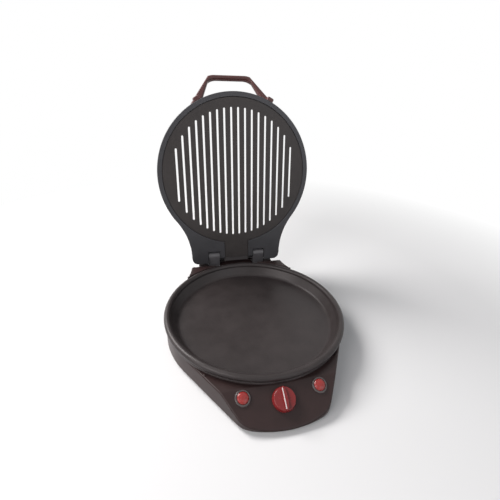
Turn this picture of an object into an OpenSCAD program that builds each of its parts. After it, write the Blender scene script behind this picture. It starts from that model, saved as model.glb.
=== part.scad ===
/* [Pan] */
// Outer diameter of the pan's rolled rim
rim_d = 340; // [336:1:344]
// Height of the rim above the table
rim_top = 56; // [56:1:58]
// Width and height of the rolled rim
bead_w = 12; // [11:0.5:13]
// Depth of the pan below the rim
pan_depth = 24; // [20:1:24]
// Wall thickness of the pan
pan_t = 3; // [2.5:0.5:3.5]

/* [Console] */
// Slope of the control panel
panel_slope = 29; // [27:1:31]
// Drop from the rim to the panel's upper edge
panel_drop = 13.5; // [13:0.5:14.5]
// Distance from the pan's axis to the front edge
front_reach = 224; // [220:1:228]
// Angle of the console's side walls
side_angle = 31; // [29:1:33]
// Radius of the console's front corners
corner_r = 36; // [30:1:40]
// Radius of the bowed front edge
front_r = 170; // [160:5:200]
// Wall thickness of the housing
wall = 3; // [2.5:0.5:3.5]
// Reach of the knob's axis in front of the pan's axis
knob_reach = 188.5; // [186:0.5:191]
// Reach of the lamps in front of the pan's axis
lamp_reach = 178.5; // [176:0.5:181]
// Distance of each lamp from the middle plane
lamp_spread = 61; // [58:1:64]
// Diameter of the knob
knob_d = 37; // [34:1:40]
// Outer diameter of a lamp's bezel
bezel_d = 25; // [22:1:27]

/* [Lid] */
// Diameter of the lid
lid_d = 326; // [324:1:327]
// Height of the lid's shell
lid_h = 32; // [32:1:33]
// Opening angle of the lid, measured from closed
open_angle = 100; // [99:0.5:101]
// Distance from the pan's axis back to the hinge axis
hinge_back = 185.5; // [185:0.5:186]
// Height of the hinge axis above the lid's sealing face
hinge_rise = 13.5; // [13:0.5:14]
// Width of the neck that carries the hinge
neck_w = 203; // [201:1:205]
// Distance from the pan's axis back to the neck's end
neck_reach = 200; // [199.5:0.5:200.5]
// Number of slots in the grill plate
slot_count = 18; // [16:2:18]
// Spacing of the slots
slot_pitch = 14.4; // [14.2:0.1:14.5]
// Width of a slot
slot_w = 4; // [3.5:0.5:5]
// Diameter of the circle that the slot ends lie on
slot_field_d = 268; // [264:1:270]
// Depth of the plate's face below the sealing face
plate_recess = 1.6; // [1.4:0.2:2]

/* [Handle] */
// Slope of the handle's plane
handle_slope = 38; // [36:1:40]
// Thickness of the handle's bar
handle_t = 11; // [10.5:0.5:12]
// Reach of the handle along its own plane
handle_reach = 87; // [86:1:90]

/* [Hidden] */
$fn = 96;
eps = 0.1;

// Heights above the table
foot_h = 6;
seat_z = rim_top - 16;
ring_t = 4;
bead_z = rim_top - bead_w;
shoulder_z = rim_top - 1;
floor_z = rim_top - pan_depth;
plate_t = 1.5;
lid_gap = 0.5;
sealing_z = rim_top + lid_gap;
axis_z = sealing_z + hinge_rise;

// Radii of the pan and the round part of the housing
rim_r = rim_d / 2;
body_r = rim_r - 3.5;
mouth_r = rim_r - bead_w;
floor_r = mouth_r - 12;
opening_r = mouth_r + 2;

// Console outline
side_c = cos(side_angle);
side_s = sin(side_angle);
front_y = front_reach - front_r;
corner_d = body_r - corner_r;
corner_b = corner_d * side_s * -1 + front_y;
corner_k = corner_d * corner_d - 2 * corner_d * side_s * front_y + front_y * front_y
    - (front_r - corner_r) * (front_r - corner_r);
corner_m = side_c * front_y;
corner_t = corner_m + sqrt(corner_m * corner_m - corner_k);
corner_x = corner_d * side_c - corner_t * side_s;
corner_y = -corner_d * side_s - corner_t * side_c;

// Rear shoulders and hinge
rear_y = 171;
deck_y = 166;
deck_z = rim_top - 7;
ledge_w = 172;
ledge_y = 190;
ledge_back_y = 203;
ledge_top = 52;
arm_x = 52;
arm_w = 25;
knuckle_r = 11.5;
pin_r = 3;
pin_half = 23.2;
bush_r = 4.5;
run_gap = 0.05;
handle_screw_a = 27;
handle_screw_z = 9;
ear_r = 11;
ear_w = 10;
ear_gap = 1;
notch_w = arm_w + 2 * ear_gap;
notch_y = hinge_back - 12.5;
tongue_w = 54;
tongue_y = 189;
stop_gap = 0.35;

// Lid
lid_r = lid_d / 2;
plate_r = lid_r - 10;
plate_seat_r = plate_r + 0.2;
lid_opening_r = plate_r - 6;
stud_ring_r = plate_r - 3.3;
stud_angles = [15, 60, 120, 165, 195, 240, 300, 345];
frame_h = 14;
flange_t = 3.5;
plate_top = plate_recess + 3;
lip_top = plate_recess + 5.7;
neck_corner = 14;
fillet_y = 185;
// The fillets are this much larger than tangent, so that they cross the round at a clear angle
fillet_cross = 0.15;
fillet_r = ((neck_w / 2) * (neck_w / 2) + fillet_y * fillet_y - lid_r * lid_r)
    / (2 * (lid_r - neck_w / 2)) + fillet_cross;
fillet_x = neck_w / 2 + fillet_r;
cover_t = 2;
dish_r = slot_field_d / 2 + 1.5;
dish_z = plate_top + 0.4;
dish_t = 1.4;
flare_r = dish_r + 11;
cover_r = lid_r - 0.8;
crest_r = cover_r - 10;
boss_ring_r = cover_r - 6.2;
boss_r = 3.6;
boss_web = 6;
boss_angles = [22, 158, 204, 256, 284, 336];
boss_seat_z = 20;
lid_ring_r = 149;
lid_ring_z = 18;
lid_clip_angles = [0, 45, 135, 180, 225, 315];
shade_z = 26.6;
element_r = 3;

// Knob and thermostat
knob_gap = 0.5;
knob_h = 9;
grip_h = 13;
grip_w = 9;
pointer_w = 1.6;
pointer_l = 30;
pointer_x = -1.8;
bushing_r = 5;
screw_r = 1.5;

// Places that repeat
foot_spots = [[-58, -174], [58, -174], [-92, 116], [92, 116]];
plate_screw_spots = [[-52, -200], [52, -200], [-159.2, -20], [159.2, -20], [-70, 150], [70, 150]];
clamp_angles = [30, 150, 270];
post_angles = [45, 135, 225, 315];
post_ring_r = 125;
lower_ring_r = 100;
cap_spots = [[-111.5, -130], [111.5, -130]];
gland_z = 22;
sides = [-1, 1];

// Foot of the handle's middle plane, and the object's extent behind with the lid open
handle_base_y = 128;
handle_base_z = 11;
tip_y = -handle_base_y - handle_reach * cos(handle_slope) + handle_t / 2 * sin(handle_slope);
tip_z = handle_base_z + handle_reach * sin(handle_slope) + handle_t / 2 * cos(handle_slope);
rear_reach = hinge_back + (tip_y - hinge_back) * cos(open_angle) + (tip_z - hinge_rise) * sin(open_angle);
mid_y = (rear_reach - front_reach) / 2;

function panel_z(reach) = rim_top - panel_drop - (reach - mouth_r - 5) * tan(panel_slope);

// Everything is drawn about the pan's axis and then moved, so that the origin is under the object's middle
module placed() {
    translate([0, -mid_y, 0])
        children();
}

// Placement on the sloped panel: children stand with +Z along the panel's normal
module on_panel(x, reach) {
    translate([x, -reach, panel_z(reach)])
        rotate([panel_slope, 0, 0])
            children();
}

// Placement of lid pieces, which are drawn closed with the sealing face at z = 0
module on_lid() {
    translate([0, hinge_back, axis_z])
        rotate([-open_angle, 0, 0])
            translate([0, -hinge_back, -hinge_rise])
                children();
}

module along_x(x0, x1, r) {
    translate([x0, 0, 0])
        rotate([0, 90, 0])
            cylinder(r = r, h = x1 - x0);
}

module ring_solid(r_out, r_in, h) {
    difference() {
        cylinder(r = r_out, h = h);
        translate([0, 0, -eps])
            cylinder(r = r_in, h = h + 2 * eps);
    }
}

// Pan head screw pointing down, with its head's seat at z = 0
module screw(length, head_r = 3, head_h = 1.8) {
    translate([0, 0, -length])
        cylinder(r = screw_r, h = length + eps);
    difference() {
        cylinder(r1 = head_r, r2 = head_r - 0.7, h = head_h);
        translate([0, 0, head_h - 0.8])
            cylinder(r = 1, h = 1, $fn = 6);
    }
}

module nut(across_r, bore_r, h) {
    difference() {
        cylinder(r = across_r, h = h, $fn = 6);
        translate([0, 0, -eps])
            cylinder(r = bore_r, h = h + 2 * eps);
    }
}

// Outline of the round housing with its tapered console
module body_plan(inset) {
    r = body_r - inset;
    rc = corner_r - inset;
    reach = front_r - inset;
    dx = corner_x;
    dy = corner_y + front_y;
    dl = sqrt(dx * dx + dy * dy);
    side_pt = [corner_x + rc * side_c, corner_y - rc * side_s];
    nose_pt = [corner_x + rc * dx / dl, corner_y + rc * dy / dl];
    fan = 1.1 * reach;
    circle(r = r, $fn = 180);
    for (s = sides)
        translate([s * corner_x, corner_y])
            circle(r = rc);
    polygon([
        [-r * side_c, -r * side_s],
        [-side_pt.x, side_pt.y],
        [-nose_pt.x, nose_pt.y],
        nose_pt,
        side_pt,
        [r * side_c, -r * side_s]
    ]);
    intersection() {
        translate([0, -front_y])
            circle(r = reach, $fn = 180);
        polygon([
            [0, -front_y],
            [-fan * dx / dl, -front_y + fan * dy / dl],
            [fan * dx / dl, -front_y + fan * dy / dl]
        ]);
    }
}

// Outline of the rear shoulders beside the hinge; their sides sweep into the round with a hollow curve
module shoulder_plan(inset) {
    right = [
        [88, rear_y - inset],
        [100 - inset, 169 - inset],
        [104.5 - inset, 164],
        [105.5 - inset, 158],
        [109.5 - inset, 143],
        [115.5 - inset, 127.5],
        [124 - inset, 113],
        [133 - inset, 100]
    ];
    left = [for (i = [len(right) - 1:-1:0]) [-right[i].x, right[i].y]];
    polygon(concat(left, right));
}

// Everything above the panel's plane, moved along its normal
module above_panel(shift) {
    on_panel(0, mouth_r + 5)
        translate([-260, -300, shift])
            cube([520, 600, 120]);
}

module housing_solid(inset, z0, z1) {
    difference() {
        translate([0, 0, z0])
            linear_extrude(z1 - z0)
                body_plan(inset);
        above_panel(-inset);
    }
}

module screw_boss(z0, z1) {
    translate([0, 0, z0])
        ring_solid(4, screw_r, z1 - z0);
}

// Hollow inside the housing and its shoulders
module housing_hollow() {
    housing_solid(wall, foot_h - 1, seat_z - wall);
    translate([0, 0, foot_h - 1])
        linear_extrude(seat_z - wall - foot_h + 1)
            shoulder_plan(wall);
    difference() {
        union() {
            translate([0, 0, seat_z - wall - eps])
                linear_extrude(deck_z - seat_z)
                    shoulder_plan(wall);
            translate([0, 0, seat_z - wall - eps])
                linear_extrude(shoulder_z - seat_z)
                    intersection() {
                        shoulder_plan(wall);
                        translate([-150, 50])
                            square([300, deck_y - wall - 50]);
                    }
        }
        cylinder(r = rim_r + wall + 0.7, h = 100, $fn = 180);
    }
}

// Ledge behind the rim, between and beside the hinge arms
module rear_ledge() {
    difference() {
        union() {
            translate([-ledge_w / 2, rear_y - wall, seat_z - 4])
                cube([ledge_w, ledge_y - rear_y + wall, deck_z - seat_z + 4]);
            translate([-arm_x, ledge_y - 3, seat_z - 4])
                cube([2 * arm_x, ledge_back_y - ledge_y + 3, ledge_top - seat_z + 4]);
        }
        for (s = sides)
            translate([s * arm_x - arm_w / 2 - 0.6, rear_y, 0])
                cube([arm_w + 1.2, 60, 100]);
    }
}

module base_housing() {
    boss_z = foot_h + plate_t;
    boss_top = seat_z - wall - 8;
    color([0.16, 0.14, 0.145])
        difference() {
            union() {
                difference() {
                    union() {
                        housing_solid(0, foot_h, seat_z);
                        translate([0, 0, foot_h])
                            linear_extrude(shoulder_z - foot_h)
                                shoulder_plan(0);
                    }
                    housing_hollow();
                }
                rear_ledge();
                for (p = plate_screw_spots)
                    translate([p.x, p.y, 0])
                        screw_boss(boss_z, p.y > 0 ? seat_z - wall + eps : min(boss_top, panel_z(-p.y) - 5));
            }
            translate([0, 0, seat_z])
                cylinder(r = rim_r + 0.7, h = 60, $fn = 180);
            translate([0, 0, seat_z - 10])
                cylinder(r = opening_r, h = 60, $fn = 180);
            on_panel(0, knob_reach)
                cylinder(r = bushing_r + 0.2, h = 20, center = true);
            for (s = sides)
                on_panel(s * lamp_spread, lamp_reach)
                    cylinder(r = bezel_d / 2 - 2.3, h = 20, center = true);
            translate([-150, deck_y, deck_z])
                cube([300, 40, 40]);
            translate([-48, 150, deck_z])
                cube([96, 60, 60]);
            for (p = cap_spots)
                translate([p.x, p.y, seat_z - 10])
                    cylinder(r = 1.5, h = 12);
            translate([0, 140, gland_z])
                rotate([-90, 0, 0]) {
                    cylinder(r = 13.5, h = rear_y - wall - 140);
                    cylinder(r = 8.2, h = 40);
                }
            for (s = sides, z = [16, 30])
                translate([s * arm_x, 160, z])
                    rotate([-90, 0, 0])
                        cylinder(r = screw_r + 0.1, h = 20);
        }
}

module base_plate() {
    color([0.13, 0.12, 0.125])
        difference() {
            translate([0, 0, foot_h]) {
                linear_extrude(plate_t)
                    body_plan(wall + 0.3);
                linear_extrude(plate_t)
                    shoulder_plan(wall + 0.3);
            }
            for (p = concat(plate_screw_spots, foot_spots))
                translate([p.x, p.y, foot_h - 1])
                    cylinder(r = screw_r + 0.2, h = 5);
            for (a = post_angles)
                rotate([0, 0, a])
                    translate([post_ring_r, 0, foot_h - 1])
                        cylinder(r = 2.3, h = 5);
            for (i = [-4:4])
                translate([i * 14 - 2.5, -40, foot_h - 1])
                    cube([5, 80, 5]);
        }
}

module rubber_feet() {
    color([0.08, 0.08, 0.08])
        for (p = foot_spots)
            translate([p.x, p.y, 0])
                difference() {
                    union() {
                        cylinder(r1 = 10, r2 = 11, h = 2);
                        translate([0, 0, 2])
                            cylinder(r = 11, h = foot_h - 2);
                    }
                    translate([0, 0, -eps])
                        cylinder(r = 4, h = 3 + eps);
                    cylinder(r = screw_r, h = 20);
                }
}

module foot_screws() {
    color("silver")
        for (p = foot_spots)
            translate([p.x, p.y, 3])
                mirror([0, 0, 1])
                    screw(foot_h - 3 + plate_t + 2.5);
}

module base_plate_screws() {
    color("silver")
        for (p = plate_screw_spots)
            translate([p.x, p.y, foot_h])
                mirror([0, 0, 1])
                    screw(9);
}

module screw_caps() {
    color([0.15, 0.13, 0.135])
        for (p = cap_spots)
            translate([p.x, p.y, seat_z]) {
                intersection() {
                    translate([0, 0, -2])
                        sphere(r = 3.4);
                    cylinder(r = 5, h = 3);
                }
                translate([0, 0, -5])
                    cylinder(r = 1.5, h = 5 + eps);
            }
}

module pan_seat_ring() {
    color([0.1, 0.1, 0.1])
        difference() {
            translate([0, 0, seat_z])
                cylinder(r = rim_r - 2, h = ring_t, $fn = 180);
            translate([0, 0, seat_z - 1])
                cylinder(r = opening_r - 1, h = ring_t + 2, $fn = 180);
        }
}

// Section of the pan: floor, leaning wall and rolled rim
module pan_section() {
    bead_r = bead_w / 2;
    polygon([
        [0, floor_z - pan_t],
        [floor_r + 1, floor_z - pan_t],
        [mouth_r - 1 + pan_t, rim_top - 8],
        [mouth_r + bead_r, rim_top - 8],
        [mouth_r + bead_r, rim_top - bead_r],
        [mouth_r, rim_top - bead_r],
        [floor_r, floor_z],
        [0, floor_z]
    ]);
    translate([mouth_r + bead_r, rim_top - bead_r])
        circle(r = bead_r);
}

module cooking_pan() {
    color([0.2, 0.19, 0.195])
        difference() {
            rotate_extrude($fn = 180)
                pan_section();
            for (a = post_angles)
                rotate([0, 0, a])
                    translate([post_ring_r, 0, floor_z - pan_t - eps])
                        cylinder(r = 2, h = 2);
        }
}

// Bent tube of a heating element: an open ring whose two ends turn outward
module heater_tube(ring_r, tube_r, half_gap, bend_r, tail) {
    rotate([0, 0, 90 + half_gap])
        rotate_extrude(angle = 360 - 2 * half_gap, $fn = 120)
            translate([ring_r, 0])
                circle(r = tube_r, $fn = 32);
    for (s = sides)
        rotate([0, 0, -s * half_gap]) {
            translate([0, ring_r, 0])
                along_x(-1.5, 1.5, tube_r + 0.6);
            translate([0, ring_r + bend_r, 0])
                rotate([0, 0, s > 0 ? 180 : 270])
                    rotate_extrude(angle = 90, $fn = 48)
                        translate([bend_r, 0])
                            circle(r = tube_r, $fn = 32);
            translate([-s * bend_r, ring_r + bend_r, 0])
                rotate([-90, 0, 0])
                    cylinder(r = tube_r, h = tail, $fn = 32);
        }
}

module lower_heating_element() {
    color([0.35, 0.35, 0.33])
        translate([0, 0, floor_z - pan_t - element_r])
            heater_tube(lower_ring_r, element_r, 12, 10, 18);
}

module element_clamps() {
    tube_z = floor_z - pan_t - element_r;
    color("silver")
        for (a = clamp_angles)
            rotate([0, 0, a])
                difference() {
                    translate([lower_ring_r - 8, -6, tube_z - element_r - 1.8])
                        cube([16, 12, 2 * element_r + 1.8]);
                    translate([lower_ring_r - 20, -4.8, tube_z - element_r - 0.6])
                        cube([40, 9.6, 20]);
                    translate([lower_ring_r, 0, tube_z])
                        rotate([90, 0, 0])
                            cylinder(r = element_r + 0.2, h = 20, center = true);
                }
}

module heat_reflector() {
    color([0.75, 0.75, 0.74])
        difference() {
            translate([0, 0, floor_z - 15])
                rotate_extrude($fn = 120)
                    polygon([[12, 0], [138, 0], [144, 6], [144, 7.2], [137.6, 1], [12, 1]]);
            for (a = post_angles)
                rotate([0, 0, a])
                    translate([post_ring_r, 0, 0])
                        cylinder(r = 2.6, h = 60);
        }
}

module reflector_posts() {
    color("silver")
        for (a = post_angles)
            rotate([0, 0, a])
                translate([post_ring_r, 0, 0]) {
                    translate([0, 0, 2.4])
                        cylinder(r = 2, h = floor_z - pan_t + 1.9 - 2.4);
                    translate([0, 0, floor_z - 14])
                        cylinder(r = 4.5, h = 14 - pan_t);
                }
}

module post_nuts() {
    color("silver")
        for (a = post_angles)
            rotate([0, 0, a])
                translate([post_ring_r, 0, 0]) {
                    translate([0, 0, floor_z - 18.2])
                        nut(4.6, 2, 3.2);
                    translate([0, 0, foot_h - 3])
                        nut(4.6, 2, 3);
                }
}

module thermostat_body() {
    color([0.8, 0.78, 0.7])
        on_panel(0, knob_reach)
            translate([0, 0, -wall - 10.5])
                difference() {
                    union() {
                        cylinder(r = 13, h = 10);
                        for (s = sides)
                            translate([s * 15, 0, 4])
                                cube([6, 5, 0.8], center = true);
                    }
                    translate([0, 0, 4])
                        cylinder(r = pin_r + run_gap, h = 10);
                }
}

module thermostat_bushing() {
    color([0.75, 0.6, 0.3])
        on_panel(0, knob_reach)
            translate([0, 0, -wall - 0.5])
                ring_solid(bushing_r, pin_r + run_gap, wall + 3.5);
}

module thermostat_nut() {
    color([0.75, 0.6, 0.3])
        on_panel(0, knob_reach)
            nut(8, bushing_r, 2.4);
}

module lamp_bezel(side) {
    color([0.12, 0.1, 0.1])
        on_panel(side * lamp_spread, lamp_reach)
            difference() {
                union() {
                    cylinder(r = bezel_d / 2, h = 1.2);
                    translate([0, 0, 1.2])
                        cylinder(r1 = bezel_d / 2, r2 = bezel_d / 2 - 1.4, h = 1.6);
                    translate([0, 0, -wall - 3])
                        cylinder(r = bezel_d / 2 - 2.4, h = wall + 3.5);
                }
                translate([0, 0, -20])
                    cylinder(r = bezel_d / 2 - 3.6, h = 40);
            }
}

module lamp_lens(side) {
    lens_r = bezel_d / 2 - 3.7;
    color([0.8, 0.1, 0.08])
        on_panel(side * lamp_spread, lamp_reach)
            difference() {
                union() {
                    translate([0, 0, -wall - 3])
                        cylinder(r = lens_r, h = wall + 5);
                    intersection() {
                        translate([0, 0, 2 - lens_r])
                            sphere(r = lens_r * sqrt(2));
                        translate([0, 0, 2 - eps])
                            cylinder(r = lens_r, h = lens_r);
                    }
                }
                translate([0, 0, -wall - 3 - eps])
                    cylinder(r = lens_r - 1.5, h = wall + 5);
            }
}

module lamp_holder(side) {
    color([0.85, 0.83, 0.78])
        on_panel(side * lamp_spread, lamp_reach)
            translate([0, 0, -wall - 9]) {
                cylinder(r = bezel_d / 2 - 3.2, h = 6);
                translate([0, 0, 6 - eps])
                    cylinder(r = 2.6, h = 5);
                translate([0, 0, 11 - 2 * eps])
                    sphere(r = 2.5, $fn = 48);
                for (s = sides)
                    translate([s * 4, 0, -1.5])
                        cube([1, 5, 3.2], center = true);
            }
}

module thermal_fuse() {
    color([0.85, 0.85, 0.86])
        translate([-62, -148, foot_h + plate_t + 1]) {
            translate([-7, -1.5, -1])
                cube([14, 3, 1.1]);
            translate([0, 0, 3])
                rotate([0, 90, 0])
                    cylinder(r = 3, h = 18, center = true);
        }
}

module terminal_block() {
    color([0.9, 0.9, 0.86])
        translate([0, 146, foot_h + plate_t])
            difference() {
                translate([-15, -7, 0])
                    cube([30, 14, 10]);
                for (i = [-1:1])
                    translate([i * 9, 0, 4])
                        cylinder(r = 2, h = 10);
                for (i = [-1:1])
                    translate([i * 9, 0, 5])
                        rotate([90, 0, 0])
                            cylinder(r = 1.6, h = 20, center = true);
            }
}

// Plan of a wire that lies on the base plate, along straight runs with round bends
module wire_plan(points, r) {
    for (i = [0:len(points) - 2]) {
        d = points[i + 1] - points[i];
        translate(points[i])
            rotate(atan2(d.y, d.x))
                translate([0, -r])
                    square([norm(d), 2 * r]);
    }
    for (i = [1:len(points) - 2])
        translate(points[i])
            circle(r = r + 0.4, $fn = 24);
}

module supply_wires() {
    color([0.55, 0.2, 0.15])
        translate([0, 0, foot_h + plate_t])
            for (w = [
                [[-9, 138], [-9, 128], [-60, 96], [-130, 20], [-130, -72], [-84, -160], [-22, -170]],
                [[0, 138], [0, 124], [-58, 86], [-121, 18], [-121, -68], [-86, -136], [-72, -147]]
            ])
                linear_extrude(2.2)
                    wire_plan(w, 1.1);
}

module cable_gland() {
    color([0.07, 0.07, 0.07])
        translate([0, rear_y, gland_z])
            rotate([-90, 0, 0])
                difference() {
                    union() {
                        translate([0, 0, -11])
                            cylinder(r = 8, h = 12);
                        cylinder(r = 11, h = 4);
                        translate([0, 0, 4])
                            cylinder(r1 = 9, r2 = 6, h = 14);
                    }
                    translate([0, 0, -20])
                        cylinder(r = 3.8, h = 60);
                }
}

module gland_nut() {
    color([0.07, 0.07, 0.07])
        translate([0, rear_y - wall, gland_z])
            rotate([90, 0, 0])
                nut(12, 8, 5);
}

// Bracket that stands on the rear wall and carries one hinge pin
module hinge_arm(side) {
    stop_z = axis_z - hinge_rise - 3.4 - stop_gap - lid_gap;
    color([0.17, 0.165, 0.17])
        translate([side * arm_x, 0, 0])
            difference() {
                union() {
                    translate([-arm_w / 2, 0, 0])
                        rotate([90, 0, 90])
                            linear_extrude(arm_w) {
                                polygon([
                                    [rear_y, 10],
                                    [rear_y, 43],
                                    [hinge_back - knuckle_r, deck_z + 1],
                                    [hinge_back - knuckle_r, axis_z],
                                    [hinge_back + knuckle_r, axis_z],
                                    [204, stop_z - 1],
                                    [204, stop_z - 9],
                                    [198, 24],
                                    [188, 10]
                                ]);
                                translate([hinge_back, axis_z])
                                    circle(r = knuckle_r);
                            }
                    translate([side > 0 ? arm_w / 2 - eps : -arm_w / 2 - 11.5 + eps, 198, stop_z - 8])
                        cube([11.5, 6, 8]);
                }
                translate([0, hinge_back, axis_z])
                    along_x(-20, 20, pin_r);
                for (z = [16, 30])
                    translate([0, rear_y - 5, z])
                        rotate([-90, 0, 0]) {
                            cylinder(r = screw_r + 0.1, h = 50);
                            translate([0, 0, 8.6])
                                cylinder(r = 3.4, h = 40);
                        }
            }
}

module hinge_arm_screws() {
    color("silver")
        for (s = sides, z = [16, 30])
            translate([s * arm_x, rear_y + 3.6, z])
                rotate([-90, 0, 0])
                    screw(12);
}

module hinge_pin(side) {
    color("silver")
        translate([side * arm_x, hinge_back, axis_z])
            along_x(-pin_half, pin_half, pin_r);
}

// Outline of the lid with its neck; the neck's sides sweep into the round with hollow fillets
module lid_plan(inset) {
    half = neck_w / 2 - inset;
    end = neck_reach - inset;
    rc = neck_corner - inset;
    k = (lid_r - inset) / lid_r;
    tx = lid_r * fillet_x / (lid_r + fillet_r) * k;
    ty = lid_r * fillet_y / (lid_r + fillet_r) * k;
    circle(r = lid_r - inset, $fn = 180);
    difference() {
        polygon([[0, 0], [tx, ty], [fillet_x, fillet_y], [half, fillet_y], [half, end - rc], [half - rc, end],
            [-half + rc, end], [-half, end - rc], [-half, fillet_y], [-fillet_x, fillet_y], [-tx, ty]]);
        for (s = sides)
            translate([s * fillet_x, fillet_y])
                circle(r = fillet_r + inset, $fn = 180);
    }
    for (s = sides)
        translate([s * (half - rc), end - rc])
            circle(r = rc);
}

// Space that the base's arms need in the neck
module neck_cuts() {
    for (s = sides)
        translate([s * arm_x - notch_w / 2, notch_y, -50])
            cube([notch_w, 60, 120]);
}

module ear_pair(r, z_low) {
    for (s = sides, x = [arm_x - notch_w / 2 - ear_w, arm_x + notch_w / 2])
        translate([0, hinge_back, hinge_rise])
            along_x(s > 0 ? x : -x - ear_w, s > 0 ? x + ear_w : -x, r);
}

module lid_frame() {
    color([0.23, 0.22, 0.225])
        on_lid()
            difference() {
                union() {
                    difference() {
                        linear_extrude(frame_h)
                            lid_plan(0);
                        translate([0, 0, lip_top])
                            linear_extrude(frame_h)
                                lid_plan(wall);
                        translate([0, 0, flange_t])
                            linear_extrude(frame_h)
                                difference() {
                                    lid_plan(wall);
                                    circle(r = plate_r + 2.5, $fn = 180);
                                    translate([-78, 100])
                                        square([156, 120]);
                                }
                        neck_cuts();
                        translate([-arm_x, tongue_y, -50])
                            cube([2 * arm_x, 60, 120]);
                    }
                    ear_pair(ear_r);
                    for (a = boss_angles)
                        rotate([0, 0, a])
                            translate([boss_ring_r, 0, flange_t - eps]) {
                                cylinder(r = boss_r, h = frame_h - flange_t + eps);
                                translate([0, -boss_web / 2, 0])
                                    cube([5.6, boss_web, frame_h - flange_t + eps]);
                            }
                }
                for (a = boss_angles)
                    rotate([0, 0, a])
                        translate([boss_ring_r, 0, boss_seat_z - 13])
                            cylinder(r = screw_r, h = 20);
                translate([0, 0, -1])
                    cylinder(r = plate_seat_r, h = 1 + plate_top + 0.3, $fn = 180);
                translate([0, 0, -1])
                    cylinder(r = lid_opening_r, h = 40, $fn = 180);
                translate([-tongue_w / 2, 140, -1])
                    cube([tongue_w, 60, 1 + plate_top + 0.3]);
                for (a = stud_angles)
                    rotate([0, 0, a])
                        translate([stud_ring_r, 0, plate_top])
                            cylinder(r = 1.7, h = 20);
                translate([0, hinge_back, hinge_rise])
                    along_x(-100, 100, bush_r);
                for (s = sides)
                    rotate([0, 0, s * handle_screw_a])
                        translate([0, -lid_r - 5, handle_screw_z])
                            rotate([-90, 0, 0])
                                cylinder(r = screw_r, h = 12);
            }
}

module slot_field(width, height, extra = 0) {
    for (i = [0:slot_count - 1]) {
        x = (i - (slot_count - 1) / 2) * slot_pitch;
        reach = sqrt(slot_field_d * slot_field_d / 4 - x * x) - width / 2 + extra;
        translate([x - width / 2, -reach, 0])
            cube([width, 2 * reach, height]);
        for (s = sides)
            translate([x, s * reach, 0])
                cylinder(r = width / 2, h = height, $fn = 24);
    }
}

module lid_grill_plate() {
    color([0.25, 0.235, 0.23])
        on_lid()
            difference() {
                union() {
                    translate([0, 0, plate_recess])
                        cylinder(r = plate_r, h = 3, $fn = 180);
                    translate([0.2 - tongue_w / 2, 140, plate_recess])
                        cube([tongue_w - 0.4, tongue_y - 140.2, 3]);
                    for (a = stud_angles)
                        rotate([0, 0, a])
                            translate([stud_ring_r, 0, plate_top - eps])
                                cylinder(r = 1.5, h = 6);
                }
                slot_field(slot_w, 20);
            }
}

module grill_plate_nuts() {
    color("silver")
        on_lid()
            for (a = stud_angles)
                rotate([0, 0, a])
                    translate([stud_ring_r, 0, lip_top])
                        nut(3.2, 1.5, 2.4);
}

function arc_points(c, r, a0, a1, n) = [for (i = [0:n]) c + r * [cos(a0 + (a1 - a0) * i / n), sin(a0 + (a1 - a0) * i / n)]];

// Outer side of the turned cover, from the dish's floor over the crest to the joint with the frame
function cover_outside() = concat(
    [[0, dish_z + dish_t], [dish_r, dish_z + dish_t], [flare_r, lid_h - 3], [flare_r + 1.1, lid_h - 1.2],
        [flare_r + 3, lid_h]],
    arc_points([crest_r, lid_h - 10], 10, 90, 0, 8),
    [[cover_r, frame_h + 0.3]]
);

// Inner side of the turned cover, back from the joint to the dish's floor
function cover_inside() = concat(
    [[cover_r - cover_t, frame_h + 0.3]],
    arc_points([crest_r, lid_h - 10], 8, 0, 90, 8),
    [[flare_r + 3.7, lid_h - cover_t], [flare_r + 2.7, lid_h - 2.6], [flare_r + 2, lid_h - 3.6],
        [dish_r + 2.1, dish_z], [0, dish_z]]
);

module cover_section() {
    polygon(concat(cover_outside(), cover_inside()));
}

// Bosses that take the cover's screws, each joined to the wall by a web
module cover_bosses() {
    for (a = boss_angles)
        rotate([0, 0, a])
            translate([boss_ring_r, 0, frame_h + 0.3]) {
                cylinder(r = boss_r, h = lid_h - frame_h - 4.1);
                translate([0, -boss_web / 2, 0])
                    cube([5.2, boss_web, lid_h - frame_h - 8]);
            }
}

module neck_shell(inset, z0, z1) {
    translate([0, 0, z0])
        linear_extrude(z1 - z0)
            difference() {
                lid_plan(inset);
                circle(r = lid_r - 14, $fn = 180);
            }
}

module lid_cover() {
    wall_x = arm_x - notch_w / 2 - ear_w - wall;
    wall_x2 = arm_x + notch_w / 2 + ear_w + wall;
    flap_x = wall_x + wall - 0.3;
    color([0.17, 0.155, 0.16])
        on_lid()
            difference() {
                union() {
                    rotate_extrude($fn = 180)
                        cover_section();
                    cover_bosses();
                    difference() {
                        neck_shell(0.8, frame_h + 0.3, lid_h);
                        cylinder(r = lid_r - 2.7, h = 100, $fn = 180);
                        difference() {
                            neck_shell(0.8 + cover_t, frame_h, lid_h - cover_t);
                            for (s = sides)
                                translate([s > 0 ? wall_x : -wall_x2, notch_y - wall, 0])
                                    cube([wall_x2 - wall_x, 60, 60]);
                        }
                        translate([-150, -200, 0])
                            cube([300, 260, 60]);
                    }
                    translate([-flap_x, tongue_y + 0.5, 6])
                        cube([2 * flap_x, neck_reach - tongue_y - 1.3, frame_h - 5]);
                }
                neck_cuts();
                slot_field(slot_w + 5, 40, 2);
                ear_pair(ear_r + 0.4);
                translate([-20, flare_r + 4.5, frame_h])
                    cube([40, 26, lid_h - cover_t - frame_h]);
                for (a = boss_angles)
                    rotate([0, 0, a])
                        translate([boss_ring_r, 0, frame_h]) {
                            cylinder(r = screw_r + 0.1, h = 20);
                            translate([0, 0, boss_seat_z - frame_h])
                                cylinder(r = 2.6, h = 20);
                        }
            }
}

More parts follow.
